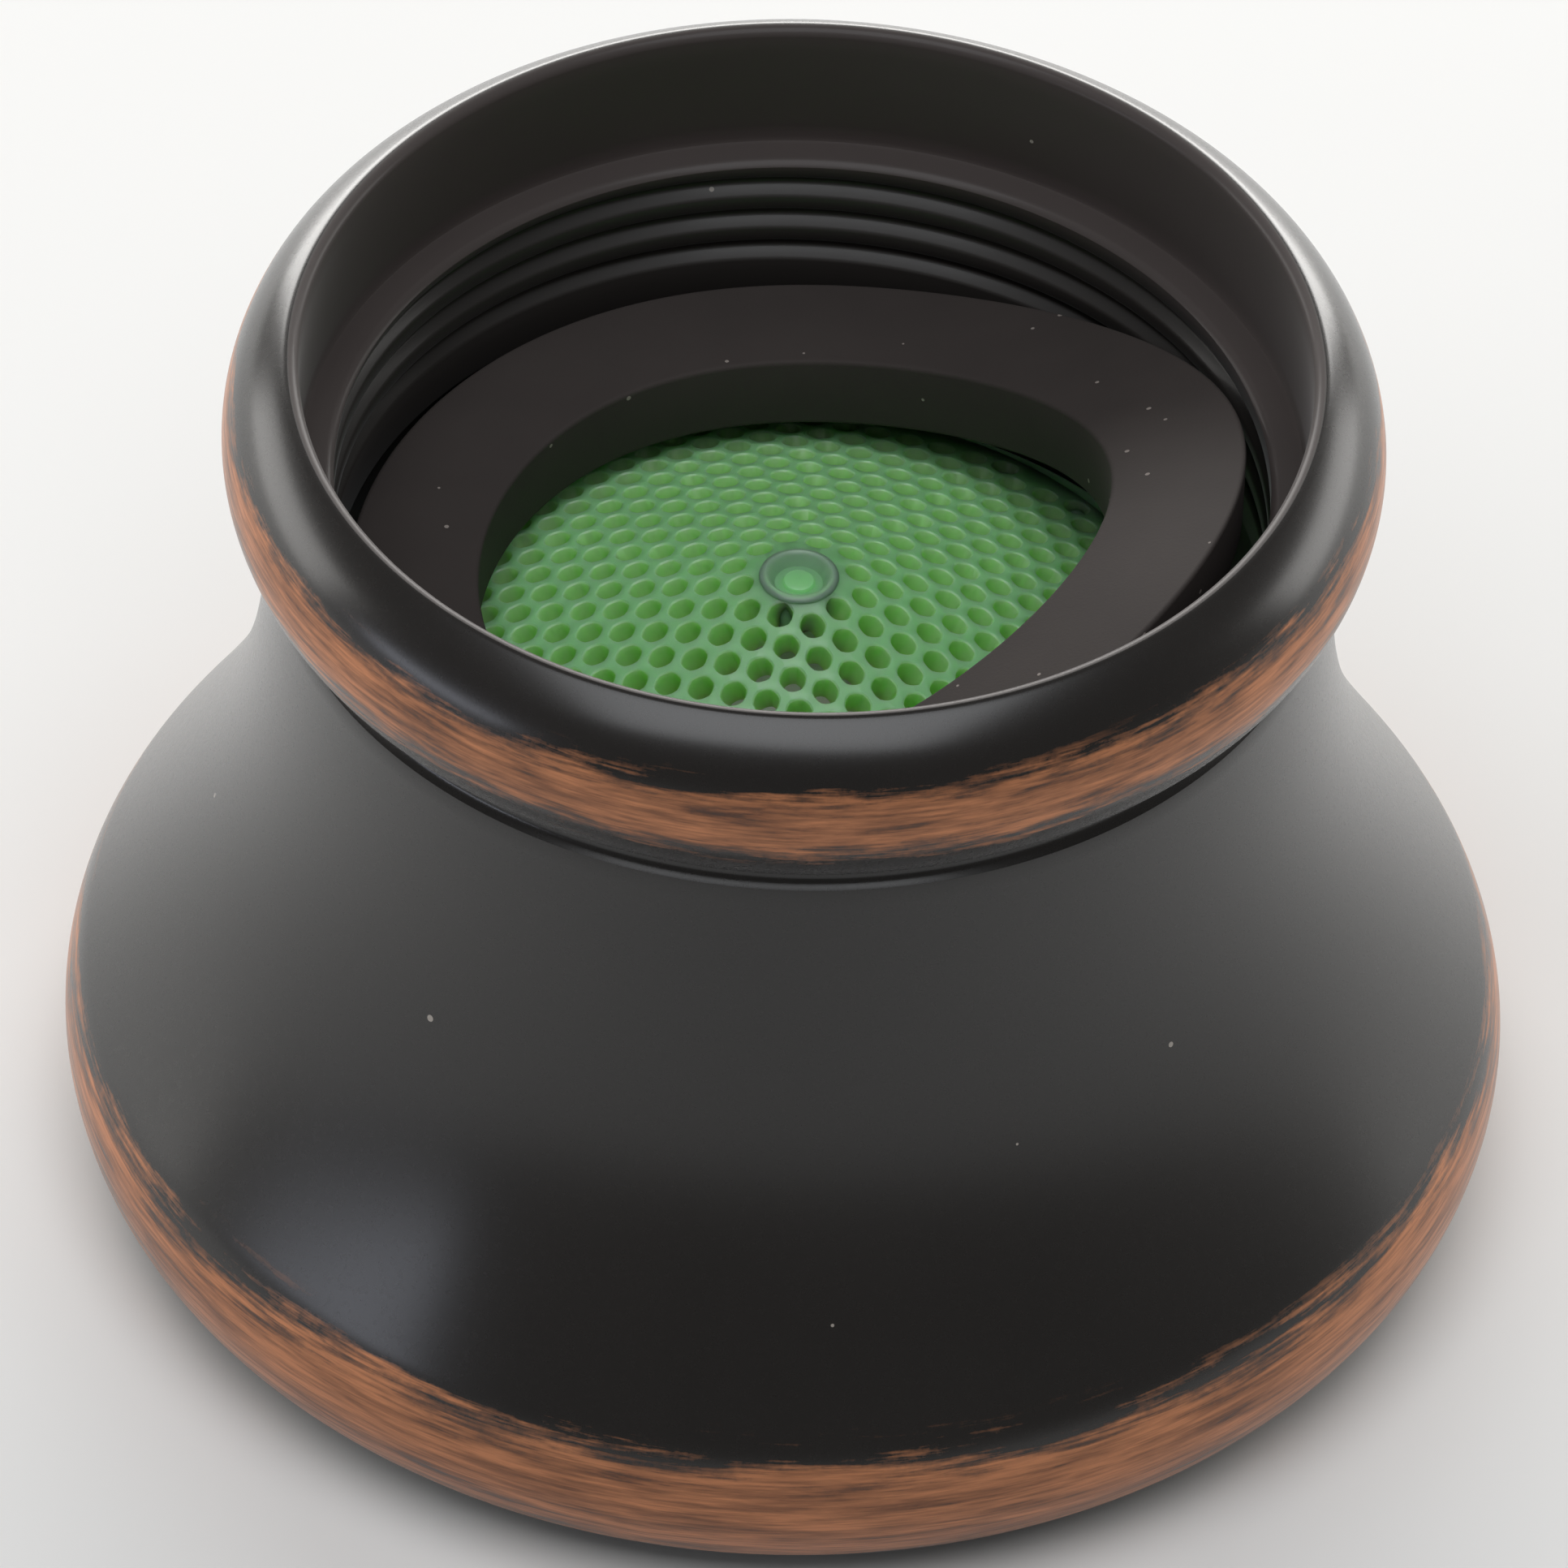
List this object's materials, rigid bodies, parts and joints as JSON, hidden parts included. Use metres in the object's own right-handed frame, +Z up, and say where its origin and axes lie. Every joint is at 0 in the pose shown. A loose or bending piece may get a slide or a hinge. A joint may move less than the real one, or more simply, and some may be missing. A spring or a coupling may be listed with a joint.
{
  "type": "faucet aerator",
  "caption": "Pot-shaped bronze faucet aerator with a rolled rim, female thread, rubber washer and a cartridge under a perforated strainer cone.",
  "frame": {"origin": "centre of the ring that the housing rests on, at its lowest face", "axes": "+Z up along the housing's axis, from the outlet to the threaded mouth; -Y towards the viewer; +X to the viewer's right"},
  "size_m": [0.033, 0.033, 0.0228],
  "materials": {
    "bronze": "dark oil-rubbed bronze on brass, satin, with brushed copper showing on the rim and the belly",
    "washer_rubber": "matte dark brown-grey rubber",
    "green_plastic": "slightly translucent green moulded plastic",
    "white_plastic": "white moulded plastic",
    "black_rubber": "black rubber",
    "stainless_mesh": "stainless steel wire mesh"
  },
  "bodies": {
    "housing": {"housing": "bronze"},
    "insert": {"insert_shell": "white_plastic", "regulator_body": "white_plastic", "regulator_o_ring": "black_rubber", "jet_plate": "white_plastic", "upper_screen": "stainless_mesh", "screen_spacer": "white_plastic", "lower_screen": "stainless_mesh", "outlet_grille": "white_plastic"},
    "strainer": {"strainer_cone": "green_plastic"},
    "washer": {"sealing_washer": "washer_rubber"}
  },
  "joints": [
    {"name": "insert_lift", "type": "slide", "parent": "housing", "child": "insert", "axis": [0, 0, 1], "range_m": [0, 0.022]},
    {"name": "strainer_lift", "type": "slide", "parent": "insert", "child": "strainer", "axis": [0, 0, 1], "range_m": [0, 0.012]},
    {"name": "washer_lift", "type": "slide", "parent": "strainer", "child": "washer", "axis": [0, 0, 1], "range_m": [0, 0.012]}
  ]
}
